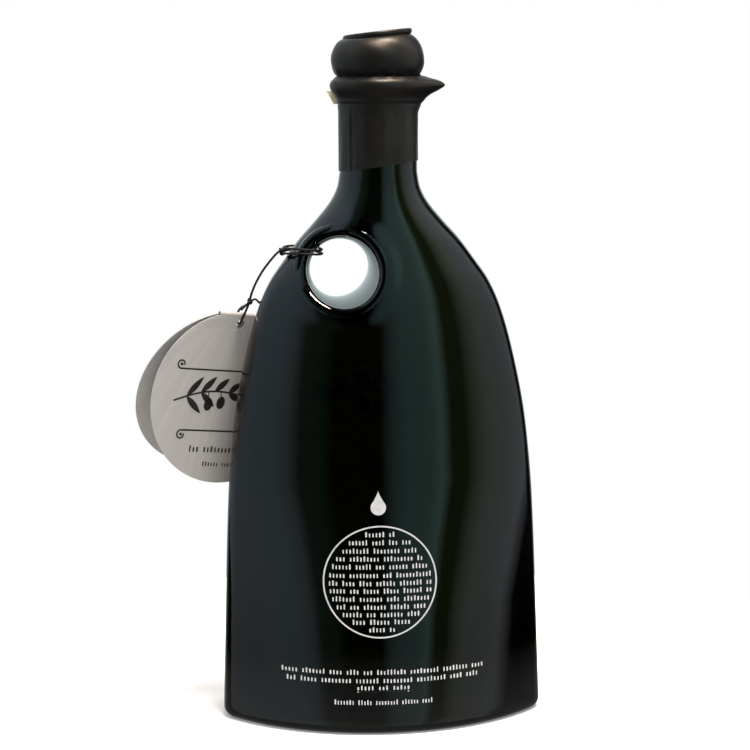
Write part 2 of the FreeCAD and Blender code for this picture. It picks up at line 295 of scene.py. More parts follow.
class NodeBoard:
    """The nodes of one material or world. An input takes a value or another node's output."""

    def __init__(self, owner: bpy.types.Material | bpy.types.World) -> None:
        """Empties the owner's nodes down to an output."""
        owner.use_nodes = True
        self.tree = owner.node_tree
        self.tree.nodes.clear()
        kind = "World" if isinstance(owner, bpy.types.World) else "Material"
        self.output = self.tree.nodes.new("ShaderNodeOutput" + kind)

    def add(self, kind: str, inputs: dict[str | int, object] | None = None,
            **settings: object) -> bpy.types.bpy_prop_collection:
        """Adds a node.

        Args:
            kind: Blender's name for the node, without ShaderNode.
            inputs: Values or outputs of other nodes, by input.
            **settings: Properties of the node itself.

        Returns:
            The node's outputs.
        """
        node = self.tree.nodes.new("ShaderNode" + kind)
        for key, value in settings.items():
            setattr(node, key, value)
        for key, value in (inputs or {}).items():
            if isinstance(value, Socket):
                self.tree.links.new(value, node.inputs[key])
            else:
                node.inputs[key].default_value = value
        return node.outputs

    def show(self, source: Socket, into: str = "Surface") -> None:
        """Joins a shader to the output."""
        self.tree.links.new(source, self.output.inputs[into])

    def surface(self, colour: Socket | tuple[float, ...], roughness: Socket | float,
                normal: Socket | None, **more: object) -> None:
        """Adds the main shader and joins it to the output.

        Args:
            colour: Base colour.
            roughness: Roughness.
            normal: A bump, or None for the plain surface.
            **more: Other inputs, with underscores for the spaces in their names.
        """
        inputs = {"Base Color": colour, "Roughness": roughness}
        if normal is not None:
            inputs["Normal"] = normal
        inputs.update({key.replace("_", " "): value for key, value in more.items()})
        self.show(self.add("BsdfPrincipled", inputs)["BSDF"])

    def noise(self, scale: float, detail: float, rough: float = 0.5, stretch: Point = WHITE,
              uv: bool = False) -> Socket:
        """A noise pattern.

        Args:
            scale: Its fineness.
            detail: Its levels of detail.
            rough: How strong the finer levels are.
            stretch: How much finer it is along each axis.
            uv: Whether it follows the piece's own map in place of its object coordinates.

        Returns:
            Its value.
        """
        source = self.add("TexCoord")["UV" if uv else "Object"]
        where = self.add("Mapping", {"Vector": source, "Scale": stretch})["Vector"]
        return self.add("TexNoise", {"Vector": where, "Scale": scale, "Detail": detail,
                                     "Roughness": rough})["Fac"]

    def ramp(self, source: Socket, *stops: Stop) -> Socket:
        """Colours a value from 0 to 1 between stops."""
        colour = self.add("ValToRGB", {"Fac": source})["Color"]
        elements = colour.node.color_ramp.elements
        while len(elements) < len(stops):
            elements.new(0.5)
        for element, (at, shade) in zip(elements, stops):
            element.position = at
            element.color = (*shade, 1.0)
        return colour

    def span(self, source: Socket, low: float, high: float, start: float = 0.0, end: float = 1.0,
             soft: bool = False) -> Socket:
        """Maps the range from start to end onto low to high, evenly or softly at both ends."""
        return self.add("MapRange", {"Value": source, "From Min": start, "From Max": end,
                                     "To Min": low, "To Max": high},
                        interpolation_type="SMOOTHSTEP" if soft else "LINEAR")["Result"]

    def math(self, operation: str, *values: Socket | float) -> Socket:
        """A sum, product or maximum of values."""
        return self.add("Math", dict(enumerate(values)), operation=operation)["Value"]

    def bump(self, source: Socket, height: float, strength: float,
             under: Socket | None = None) -> Socket:
        """Raises the surface where a value is high.

        Args:
            source: The value.
            height: How far the surface rises, in metres.
            strength: How strongly it shows.
            under: Another bump that this one adds to.

        Returns:
            The new normal.
        """
        inputs = {"Height": source, "Distance": height, "Strength": strength}
        if under is not None:
            inputs["Normal"] = under
        return self.add("Bump", inputs)["Normal"]


@dataclass(frozen=True)
class Finish:
    """A named finish; each kind draws its own shader."""

    name: str

    def draw(self, board: NodeBoard) -> None:
        """Draws the shader on an empty board."""
        raise NotImplementedError

    def material(self) -> bpy.types.Material:
        """A new material with the shader."""
        material = bpy.data.materials.new(self.name)
        self.draw(NodeBoard(material))
        return material


@dataclass(frozen=True)
class Clear(Finish):
    """Glass or oil: clear at the surface, with a colour in bulk."""

    base: Colour
    roughness: float
    index: float
    tint: Colour
    density: float
    ripple: float = 0.0

    def draw(self, board: NodeBoard) -> None:
        """Draws a clear surface, with slow ripples if it has any, and the absorption inside."""
        normal = None
        if self.ripple:
            normal = board.bump(board.noise(26.0, 1.5, stretch=(1.0, 1.0, 0.45)), self.ripple, 0.55)
        board.surface((*self.base, 1.0), self.roughness, normal, IOR=self.index,
                      Transmission_Weight=1.0)
        board.show(board.add("VolumeAbsorption", {"Color": (*self.tint, 1.0),
                                                  "Density": self.density})["Volume"], "Volume")


@dataclass(frozen=True)
class Mottled(Finish):
    """Ink, plastic or foil whose colour and relief follow one fine noise."""

    low: Stop
    high: Stop
    roughness: float = 0.45
    metallic: float = 0.0
    grain: tuple[float, float, float] = (420.0, 4.0, 0.6)
    stretch: Point = WHITE
    height: float = 0.00002
    strength: float = 0.5

    def draw(self, board: NodeBoard) -> None:
        """Draws the colour and the relief over the same noise."""
        cloud = board.noise(*self.grain, self.stretch)
        board.surface(board.ramp(cloud, self.low, self.high), self.roughness,
                      board.bump(cloud, self.height, self.strength), Metallic=self.metallic)


@dataclass(frozen=True)
class ShrunkFilm(Finish):
    """Matte black heat-shrunk film with a soft, slightly warm sheen and fine crinkles."""

    dark: Colour = (0.0040, 0.0040, 0.0042)
    worn: Colour = (0.0120, 0.0105, 0.0098)

    def draw(self, board: NodeBoard) -> None:
        """Draws worn clouds, long folds and a fine grain."""
        cloud, grain = board.noise(60.0, 5.0, 0.6), board.noise(900.0, 3.0, 0.65)
        fold = board.bump(board.noise(170.0, 2.5, stretch=(1.0, 1.0, 0.28)), 0.00030, 0.45)
        board.surface(board.ramp(cloud, (0.30, self.dark), (0.75, self.worn)),
                      board.span(cloud, 0.31, 0.45), board.bump(grain, 0.00004, 0.5, fold),
                      IOR=1.37, Specular_Tint=(1.0, 0.93, 0.86, 1.0))


@dataclass(frozen=True)
class BrushedCard(Finish):
    """Silver-grey card with fine brushed streaks."""

    dark: Colour = (0.30, 0.30, 0.295)
    light: Colour = (0.50, 0.495, 0.485)

    def draw(self, board: NodeBoard) -> None:
        """Draws streaks along the card's own map, with slow clouds."""
        streak = board.noise(7.0, 6.0, 0.75, (1.2, 90.0, 1.0), uv=True)
        cloud = board.noise(2.5, 2.0, stretch=(1.0, 1.6, 1.0), uv=True)
        blend = board.math("MULTIPLY_ADD", cloud, 0.35, streak)
        board.surface(board.ramp(blend, (0.45, self.dark), (0.95, self.light)),
                      board.span(streak, 0.36, 0.58), board.bump(streak, 0.00005, 0.6),
                      Metallic=0.30)


@dataclass(frozen=True)
class ElasticThread(Finish):
    """Black braided elastic."""

    dark: Colour = (0.006, 0.006, 0.006)
    light: Colour = (0.014, 0.0135, 0.013)

    def draw(self, board: NodeBoard) -> None:
        """Draws the braid as small cells."""
        where = board.add("TexCoord")["Object"]
        braid = board.add("TexVoronoi", {"Vector": where, "Scale": 3600.0})["Distance"]
        board.surface(board.ramp(braid, (0.15, self.light), (0.70, self.dark)), 0.62,
                      board.bump(braid, -0.00006, 0.8), Specular_IOR_Level=0.25,
                      Sheen_Weight=0.08, Sheen_Roughness=0.4)


DARK_GLASS = Clear("antique_green_glass", (0.085, 0.092, 0.064), 0.012, 1.52,
                   tint=(0.36, 0.41, 0.29), density=330.0, ripple=0.00025)
OLIVE_OIL = Clear("olive_oil", (1.0, 0.98, 0.86), 0.0, 1.47, tint=(0.86, 0.74, 0.12), density=45.0)
BLACK_FILM = ShrunkFilm("shrunk_film")
# The tear strip's colours are lifted well above its own gold: painted light standing in for the
# light that shines through the strip.
GOLD_FILM = Mottled("gold_film", (0.30, (0.86, 0.78, 0.48)), (0.62, (0.93, 0.88, 0.62)), 0.38, 0.05,
                    (1400.0, 2.0, 0.5), (1.0, 1.0, 0.1), 0.00003, 0.6)
STOPPER_PLASTIC = Mottled("stopper_plastic", (0.35, (0.02, 0.019, 0.018)),
                          (0.7, (0.035, 0.033, 0.03)), 0.4, grain=(300.0, 3.0, 0.5),
                          height=0.00003, strength=0.4)
PALE_ENAMEL = Mottled("pale_enamel", (0.32, (0.35, 0.37, 0.39)), (0.55, (0.43, 0.45, 0.475)))
BLACK_INK = Mottled("black_ink", (0.32, (0.016, 0.016, 0.016)), (0.55, (0.008, 0.008, 0.008)), 0.5)
SILVER_CARD = BrushedCard("brushed_card")
BLACK_ELASTIC = ElasticThread("black_elastic")


def finish_piece(piece: Piece, material: bpy.types.Material, slot: str, *replaced: str) -> Piece:
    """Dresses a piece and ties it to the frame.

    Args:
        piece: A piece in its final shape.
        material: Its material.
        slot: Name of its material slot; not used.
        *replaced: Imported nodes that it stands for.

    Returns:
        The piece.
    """
    piece.data.materials.clear()
    piece.data.materials.append(material)
    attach(piece, BODY)
    if replaced:
        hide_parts(*replaced)
    return piece


# ------------------------------------------------------------------------------------------------
# The bottle
# ------------------------------------------------------------------------------------------------


@dataclass
class BottleForm:
    """The lens-shaped body: sizes and the rule that gives its level sections."""

    width: float = 110.4
    depth: float = 60.8
    shoulder_top: float = 187.0
    edge_radius: float = 10.7
    neck_radius: float = 13.1
    heel_radius: float = 3.5
    around: int = 256
    crowd: float = 0.28
    # (share of the shoulder's height, share of half width, share of half depth, roundness)
    rows: tuple[tuple[float, float, float, float], ...] = (
        (0.000, 1.000, 1.000, 0.00), (0.090, 0.986, 0.990, 0.00), (0.187, 0.971, 0.970, 0.00),
        (0.358, 0.944, 0.918, 0.00), (0.460, 0.917, 0.868, 0.00), (0.572, 0.861, 0.785, 0.00),
        (0.682, 0.762, 0.665, 0.02), (0.756, 0.667, 0.560, 0.06), (0.804, 0.571, 0.465, 0.12),
        (0.843, 0.452, 0.370, 0.24), (0.880, 0.330, 0.275, 0.42), (0.912, 0.203, 0.182, 0.65),
        (0.945, 0.084, 0.080, 0.86), (0.971, 0.024, 0.023, 0.97), (1.000, 0.000, 0.000, 1.00))

    def slope(self, at: int, column: int) -> float:
        """How fast a column of the rows changes at a row."""
        before, after = self.rows[max(at - 1, 0)], self.rows[min(at + 1, len(self.rows) - 1)]
        return (after[column] - before[column]) / (after[0] - before[0])

    def at(self, height: float) -> tuple[float, float, float]:
        """Half width, half depth and edge radius at a height, by smooth curves between the rows."""
        share = min(max(height / self.shoulder_top, 0.0), 1.0)
        below = max(k for k, row in enumerate(self.rows) if row[0] <= share)
        index = min(below, len(self.rows) - 2)
        low, high = self.rows[index], self.rows[index + 1]
        span = high[0] - low[0]
        t = (share - low[0]) / span
        values = []
        for column in (1, 2, 3):
            ends = (low[column] * (2 * t ** 3 - 3 * t ** 2 + 1)
                    + high[column] * (3 * t ** 2 - 2 * t ** 3))
            bend = (self.slope(index, column) * (t ** 3 - 2 * t ** 2 + t)
                    + self.slope(index + 1, column) * (t ** 3 - t ** 2))
            values.append(ends + bend * span)
        wide, deep, roundness = values
        return (self.neck_radius + wide * (self.width / 2 - self.neck_radius),
                self.neck_radius + deep * (self.depth / 2 - self.neck_radius),
                self.edge_radius + min(roundness, 1.0) * (self.neck_radius - self.edge_radius))

    @staticmethod
    def arcs(half_width: float, half_depth: float, edge_radius: float) -> Point:
        """Radius of the wide arcs, how far behind the middle they centre, and the edges' centre."""
        if half_depth - edge_radius < 0.01:
            return half_depth, 0.0, 0.0
        edge = half_width - edge_radius
        face = (edge ** 2 + half_depth ** 2 - edge_radius ** 2) / (2 * (half_depth - edge_radius))
        return face, face - half_depth, edge

    def face_depth(self, x: float, height: float) -> float:
        """How far the broad face lies from the middle plane at a point."""
        half_width, half_depth, edge_radius = self.at(height)
        face, behind, edge = self.arcs(half_width, half_depth, edge_radius)
        depth = sqrt(max(face ** 2 - x ** 2, 0.0)) - behind
        beyond = abs(x) - edge
        if beyond > 0:
            depth = min(depth, sqrt(max(edge_radius ** 2 - beyond ** 2, 0.0)))
        return depth

    def angles(self) -> list[float]:
        """The angles at which a section has points, closer together at the broad faces' edges."""
        evens = [2 * pi * step / self.around for step in range(self.around)]
        return [even + self.crowd * sin(2 * even) for even in evens]

    def ring(self, height: float, drawn: float = 0.0) -> list[Vector]:
        """A level section.

        Args:
            height: Height of the section.
            drawn: How far it lies inside the outer surface.

        Returns:
            Its points in metres, by the angle of the normal.
        """
        half_width, half_depth, edge_radius = self.at(height)
        edge_radius = min(edge_radius, half_depth) - drawn
        face, behind, edge = self.arcs(half_width - drawn, half_depth - drawn, edge_radius)
        reach = atan2(edge, behind) if edge else pi
        points = []
        for angle in self.angles():
            nx, ny = cos(angle), sin(angle)
            if acos(min(abs(ny), 1.0)) < reach:
                points.append(millimetres(face * nx, face * ny - copysign(behind, ny), height))
            else:
                points.append(millimetres(copysign(edge, nx) + edge_radius * nx, edge_radius * ny,
                                          height))
        return points

    def round_ring(self, radius: float, height: float, beak: float = 0.0,
                   spread: float = 21.0) -> list[Vector]:
        """A round section, in metres, with a beak towards +X that fades out over some degrees."""
        points = []
        for angle in self.angles():
            turn = degrees(angle) % 360.0
            reach = radius + beak * exp(-(min(turn, 360.0 - turn) / spread) ** 2)
            points.append(millimetres(reach * cos(radians(turn)), reach * sin(radians(turn)),
                                      height))
        return points


@dataclass
class Lip:
    """The flared lip with its pouring beak."""

    start: float = 205.0
    mouth: float = 218.6
    flare: float = 2.6
    beak: float = 6.4
    # (share of the flare, share of the beak) at even heights from start to mouth
    shares: tuple[Spot, ...] = (
        (0.00, 0.00), (0.00, 0.01), (0.03, 0.08), (0.11, 0.17), (0.25, 0.29),
        (0.52, 0.47), (0.90, 0.77), (1.06, 1.02), (0.88, 0.84), (0.30, 0.33))

    def at(self, height: float) -> Spot:
        """How far the round lip and the beak stand out at a height."""
        last = len(self.shares) - 1
        place = (height - self.start) / (self.mouth - self.start) * last
        place = min(max(place, 0.0), float(last))
        index = min(int(place), last - 1)
        t = place - index
        rows = [self.shares[min(max(index + k, 0), last)] for k in (-1, 0, 1, 2)]
        values = []
        for column in (0, 1):
            a, b, c, d = (row[column] for row in rows)
            values.append(0.5 * (2 * b + (c - a) * t + (2 * a - 5 * b + 4 * c - d) * t ** 2
                                 + (3 * b - a - 3 * c + d) * t ** 3))
        return values[0] * self.flare, values[1] * self.beak


@dataclass
class Bottle:
    """The glass with its finger hole, and the oil in it."""

    form: BottleForm = field(default_factory=BottleForm)
    lip: Lip = field(default_factory=Lip)
    wall: float = 3.2
    floor: float = 6.0
    waist_height: float = 130.0
    oil_level: float = 162.0
    bore_radius: float = 9.25
    hole_x: float = -13.5
    hole_z: float = 154.5
    waist_radius: float = 10.1
    ring_radius: float = 13.85
    ring_tube: float = 2.1
    ring_proud: float = 1.1
    blend: float = 6.5
    blend_gap: float = 0.5
    blend_drop: float = 0.17
    face_start: float = 8.0
    overlap: float = 0.15
    soft_angle: float = 40.0

    def swell(self, point: Vector) -> Vector:
        """Raises the broad faces around the hole so that they run softly into its rings."""
        reach = hypot(point.x / MM - self.hole_x, point.z / MM - self.hole_z)
        away = reach - self.ring_radius - self.blend_gap
        share = 1.0 - min(max(away / self.blend, 0.0), 1.0)
        rise = (self.ring_proud - self.blend_drop) * share ** 2 * (3 - 2 * share) * MM
        face = min(abs(point.y) / (self.face_start * MM), 1.0)
        return Vector((point.x, point.y + copysign(rise * face, point.y), point.z))

    def outside(self) -> Piece:
        """The outer shell of the glass, without the hole; its rings are closer where it bends."""
        form, lip, heel = self.form, self.lip, self.form.heel_radius
        turns = levels(0.0, pi / 2, 8, first=0)
        rings = [form.ring(heel * (1 - cos(turn)), heel * (1 - sin(turn))) for turn in turns]
        rings += [form.ring(height) for height in levels(heel, self.waist_height, 70)]
        rings += [form.ring(height) for height in levels(self.waist_height, form.shoulder_top, 62)]
        neck = levels(form.shoulder_top, form.shoulder_top + 15.0, 5)
        rings += [form.round_ring(form.neck_radius, height) for height in neck]
        for height in levels(lip.start, lip.mouth, 18, first=0):
            flare, beak = lip.at(height)
            rings.append(form.round_ring(form.neck_radius + flare, height, beak))
        return reshape(skin("bottle", rings), self.swell)

    def cavity(self, name: str, grow: float, top: float | None = None) -> Piece:
        """The inner space, grown a little for what fills it.

        Args:
            name: The name of the piece.
            grow: How far it reaches into the wall.
            top: Height of its flat top, or None for the whole space with the bore.

        Returns:
            The closed piece.
        """
        form, rings = self.form, []
        neck_wall = form.neck_radius - self.bore_radius
        high = form.shoulder_top if top is None else top
        for height in levels(self.floor - grow, high, 60, first=0):
            bent = form.at(height)[2] - form.edge_radius
            roundness = bent / (form.neck_radius - form.edge_radius)
            rings.append(form.ring(height, self.wall + roundness * (neck_wall - self.wall) - grow))
        if top is None:
            rings.append(form.round_ring(self.bore_radius + grow, self.lip.mouth + 3.0))
        return skin(name, rings)

    def rod(self, radius: float) -> Piece:
        """A rod along the axis of the finger hole, longer than the bottle is deep."""
        return settle(primitive("rod", "cylinder", vertices=128, radius=radius * MM, depth=0.12,
                                location=(self.hole_x * MM, 0.0, self.hole_z * MM),
                                rotation=(pi / 2, 0.0, 0.0)))

    def grommet_section(self, angle: float) -> list[Vector]:
        """The closed outline of the hole's wall with its two rounded rings.

        Args:
            angle: Turn about the hole's axis, in radians.

        Returns:
            Points in metres.
        """
        tube, waist, ring = self.ring_tube, self.waist_radius, self.ring_radius
        face = self.form.face_depth(self.hole_x + cos(angle) * ring,
                                    self.hole_z + sin(angle) * ring)
        depth = face + self.ring_proud - tube
        inner = ring - tube
        shares = [-1 + 2 * step / 24 for step in range(25)]
        outline = [(waist + (inner - waist) * share ** 2, depth * share) for share in shares]
        for bend in [pi - pi * step / 16 for step in range(1, 16)]:
            outline.append((ring + tube * cos(bend), depth + tube * sin(bend)))
        outline += [(ring + tube, depth), (ring + tube, -depth)]
        for bend in [-pi * step / 16 for step in range(1, 16)]:
            outline.append((ring + tube * cos(bend), -depth + tube * sin(bend)))
        return [millimetres(self.hole_x + cos(angle) * radius, y, self.hole_z + sin(angle) * radius)
                for radius, y in outline]

    def grommet(self) -> Piece:
        """The wall of the finger hole as a closed ring of glass."""
        rings = [self.grommet_section(2 * pi * step / 144) for step in range(144)]
        return skin("grommet", [*rings, rings[0]], closed=False)

    def build(self) -> list[Piece]:
        """The glass and the oil, dressed."""
        clear = self.ring_radius + self.ring_tube + self.ring_proud
        glass = combine(self.outside(), self.rod(self.ring_radius), Join.CUT)
        glass = combine(glass, self.grommet(), Join.ADD)
        space = combine(self.cavity("space", 0.0), self.rod(clear), Join.CUT)
        glass = smooth(combine(glass, space, Join.CUT), self.soft_angle)
        oil = combine(self.cavity("oil_fill", self.overlap, self.oil_level),
                      self.rod(clear - self.overlap), Join.CUT)
        smooth(oil, self.soft_angle)
        return [finish_piece(glass, DARK_GLASS.material(), "glass", "bottle_glass"),
                finish_piece(oil, OLIVE_OIL.material(), "oil", "oil")]


# ------------------------------------------------------------------------------------------------
# Stopper, capsule and tear tab
# ------------------------------------------------------------------------------------------------


@dataclass
class Closure:
    """The shrunk capsule over stopper and lip, and the free end of its tear strip."""

    form: BottleForm = field(default_factory=BottleForm)
    lip: Lip = field(default_factory=Lip)
    film: float = 0.3
    edge_height: float = 189.0
    edge_slant: float = 7.3
    skirt: float = 16.0
    foot_radius: float = 13.7
    foot_rise: float = 0.25
    bulb_radius: float = 15.6
    bulb_top_radius: float = 12.5
    bulb_height: float = 12.3
    disc_radius: float = 11.4
    disc_rise: float = 2.1
    disc_tilt: float = 6.1
    seam_turn: float = -140.0
    tab_width: float = 4.2
    tab_length: float = 10.9
    tab_slant: float = 2.6
    tab_low: float = 209.1
    tab_turn: float = 121.0
    tab_film: float = 0.2
    folds_top: float = 212.0
    folds_fade: float = 8.0
    bulb_start: float = 220.0
    # (height, count round the neck, twist per millimetre, phase) of the skirt's folds
    folds: tuple[tuple[float, ...], ...] = (
        (0.055, 5, 0.10, 0.0), (0.045, 11, -0.23, 1.0), (0.03, 23, 0.05, 0.0))
    # (height, turn off the seam, width) and (height, height above the base, width)
    seam_ridges: tuple[Point, ...] = ((0.30, 0.0, 2.4), (-0.16, 5.5, 2.2))
    tear_ridges: tuple[Point, ...] = ((-0.22, 209.6, 0.42), (0.12, 210.5, 0.45))
    gathers: tuple[Point, ...] = ((0.10, 219.2, 1.6),)
    # (radius added to a share of the disc's, that share, drop below its top) of the disc's face
    face_rows: tuple[Point, ...] = ((-0.9, 1.0, 0.02), (-1.6, 1.0, 0.16), (0.0, 0.55, 0.22),
                                    (0.0, 0.2, 0.2), (0.0, 0.02, 0.2))

    def crinkle(self, turn: float, height: float) -> float:
        """How far the film stands off its round form.

        Args:
            turn: Angle about the neck, in degrees.
            height: Height above the base.

        Returns:
            The distance outwards, in millimetres.
        """
        def ridges(rows: Sequence[Point], place: float) -> float:
            """The height of soft ridges and furrows at a place."""
            return sum(rise * exp(-((place - middle) / width) ** 2)
                       for rise, middle, width in rows)

        angle = radians(turn)
        skirt = max(0.0, min(1.0, (self.folds_top - height) / self.folds_fade))
        folds = sum(rise * sin(count * angle + twist * height + phase)
                    for rise, count, twist, phase in self.folds)
        seam = ridges(self.seam_ridges, (turn - self.seam_turn + 180.0) % 360.0 - 180.0)
        gather = sin(17 * angle) * ridges(self.gathers, height)
        bulb = 0.05 * sin(7 * angle + height) if height > self.bulb_start else 0.0
        return skirt * (folds + seam) + ridges(self.tear_ridges, height) + gather + bulb

    def outline(self) -> list[tuple[float, float, float, float]]:
        """Sections from the skirt to the top: radius, beak, height, how much of the tilt holds."""
        neck = self.form.neck_radius
        low, top = self.edge_height, self.edge_height + self.skirt
        rows = [(neck + self.film, 0.0, height, 0.0) for height in levels(low, top, 22, first=0)]
        for height in levels(self.lip.start, self.lip.mouth, 34):
            flare, beak = self.lip.at(height)
            rows.append((neck + flare + self.film, beak, height, 0.0))
        foot = self.lip.mouth + self.foot_rise
        rows.append((self.foot_radius - 0.1, 1.2, foot, 0.0))
        belly = self.bulb_radius - (self.foot_radius + self.bulb_top_radius) / 2
        for share in levels(0.0, 1.0, 22):
            bow = 1 - (2 * share - 1) ** 2
            radius = self.foot_radius + (self.bulb_top_radius - self.foot_radius) * share
            rows.append((radius + belly * bow ** 0.8, 0.0, foot + self.bulb_height * share,
                         share ** 6 * 0.4))
        base, disc = foot + self.bulb_height, self.disc_radius
        rows += [(disc + 0.55, 0.0, base + 0.25, 0.6), (disc - 0.1, 0.0, base + 0.30, 0.9)]
        for bend in levels(0.0, pi, 8, first=0):
            rise = (self.disc_rise - 0.2) * (1 - cos(bend)) / 2
            rows.append((disc - 0.35 + 0.55 * sin(bend), 0.0, base + 0.35 + rise, 1.0))
        rows += [(disc * share + more, 0.0, base + self.disc_rise - drop, 1.0)
                 for more, share, drop in self.face_rows]
        return rows

    def capsule(self) -> Piece:
        """The film as a thin closed shell with a slanting lower edge."""
        slant, tilt = tan(radians(self.edge_slant)), tan(radians(self.disc_tilt))
        rings = []
        for radius, beak, height, tilted in self.outline():
            ring = []
            low = max(0.0, 1.0 - (height - self.edge_height) / self.skirt)
            for point in self.form.round_ring(radius, height, beak):
                turn = degrees(atan2(point.y, point.x))
                out = self.crinkle(turn, height) * min(1.0, radius / 11.0)
                flat = Vector((point.x, point.y, 0.0))
                spread = flat * (1 + out * MM / max(flat.length, 1e-6))
                rise = point.x * (slant * low + tilt * tilted)
                ring.append(Vector((spread.x, spread.y, point.z + rise)))
            rings.append(ring)
        film = skin("capsule_film", rings, closed=False)
        self.close_top(film)
        thickness = film.modifiers.new("thickness", "SOLIDIFY")
        thickness.thickness = self.film * MM * 0.9
        thickness.offset = -1.0
        apply_modifier(film, thickness)
        return smooth(film, 50.0)

    @staticmethod
    def close_top(film: Piece, reach: float = 0.0004) -> None:
        """Closes the small hole in the middle of the disc by drawing its edge to one point."""
        mesh = film.data
        for parts in (mesh.vertices, mesh.edges, mesh.polygons):
            parts.foreach_set("select", [False] * len(parts))
        middle = [vertex for vertex in mesh.vertices if vertex.co.xy.length < reach]
        top = max(vertex.co.z for vertex in middle)
        for vertex in middle:
            vertex.select = vertex.co.z > top - 0.001
        bpy.ops.object.mode_set(mode="EDIT")
        bpy.ops.mesh.merge(type="CENTER")
        bpy.ops.object.mode_set(mode="OBJECT")
        face_outwards(film)

    def tab(self) -> Piece:
        """The tear strip's free end: it leaves the film behind the neck, with a slanting end."""
        leave, steps, rings = radians(self.tab_turn), 18, []
        away, along = Vector((cos(leave), sin(leave))), Vector((-sin(leave), cos(leave)))
        start = away * (self.form.neck_radius + self.film + 0.05)
        rises = (0, 0.25, 0.5, 0.75, 1)
        section = [*((rise, 0) for rise in rises), *((rise, 1) for rise in reversed(rises))]
        for step in range(steps + 1):
            ring = []
            for rise, depth in section:
                reach = (self.tab_length - self.tab_slant * (1 - rise)) * step / steps
                curl = 0.010 * reach ** 2 - 0.25 * sin(pi * rise) * step / steps
                place = start + along * reach + away * (curl + depth * self.tab_film)
                height = self.tab_low + self.tab_width * rise + 0.06 * reach
                ring.append(millimetres(place.x, place.y, height))
            rings.append(ring)
        return smooth(skin("tear_strip", rings), 50.0)

    def build(self, nodes: dict[str, Piece]) -> list[Piece]:
        """The capsule and the tab, dressed, with the finish of the stopper under them."""
        stopper = nodes["stopper"]
        stopper.data.materials.clear()
        stopper.data.materials.append(STOPPER_PLASTIC.material())
        return [finish_piece(self.capsule(), BLACK_FILM.material(), "capsule", "capsule"),
                finish_piece(self.tab(), GOLD_FILM.material(), "tab", "tear_tab")]


# ------------------------------------------------------------------------------------------------
# Flat ornament, drawn in a plane and then laid on a surface
# ------------------------------------------------------------------------------------------------


